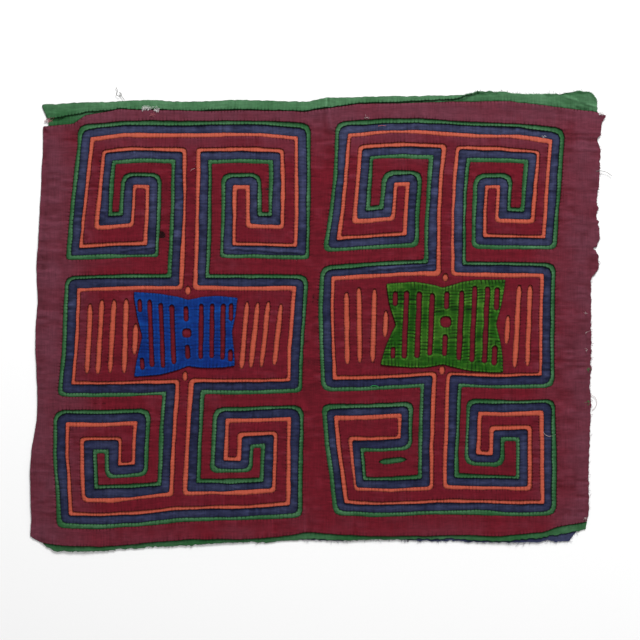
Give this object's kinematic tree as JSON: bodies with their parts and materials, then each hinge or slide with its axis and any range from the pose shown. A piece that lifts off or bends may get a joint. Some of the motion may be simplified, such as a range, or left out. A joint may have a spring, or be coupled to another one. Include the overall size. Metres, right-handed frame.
{
  "type": "mola panel",
  "caption": "Hand-sewn layered cotton panel in maroon, navy, orange and green, with hooked spiral figures and slotted emblems sewn on.",
  "frame": {"origin": "Middle of the panel's bounding box, on the surface that it lies on.", "axes": "+X runs to the right along the long sides as the panel is looked at, +Y up towards the green turned edge, and +Z out of the face."},
  "size_m": [0.4324, 0.3458, 0.0055],
  "materials": {
    "navy_cotton": "matt plain weave, a little faded",
    "green_cotton": "matt plain weave, a little faded",
    "orange_cotton": "matt plain weave",
    "maroon_cotton": "matt plain weave, faded to purple at the margins",
    "blue_cotton": "matt plain weave",
    "bright_green_cotton": "matt plain weave, puckered"
  },
  "bodies": {
    "root": {"base_cloth": "navy_cotton", "middle_cloth": "green_cotton", "top_strip": "green_cotton", "outline_left": "orange_cotton", "outline_right": "orange_cotton", "top_cloth": "maroon_cotton", "figure_left": "maroon_cotton", "figure_right": "maroon_cotton", "emblem_left": "blue_cotton", "emblem_right": "bright_green_cotton"}
  },
  "joints": []
}
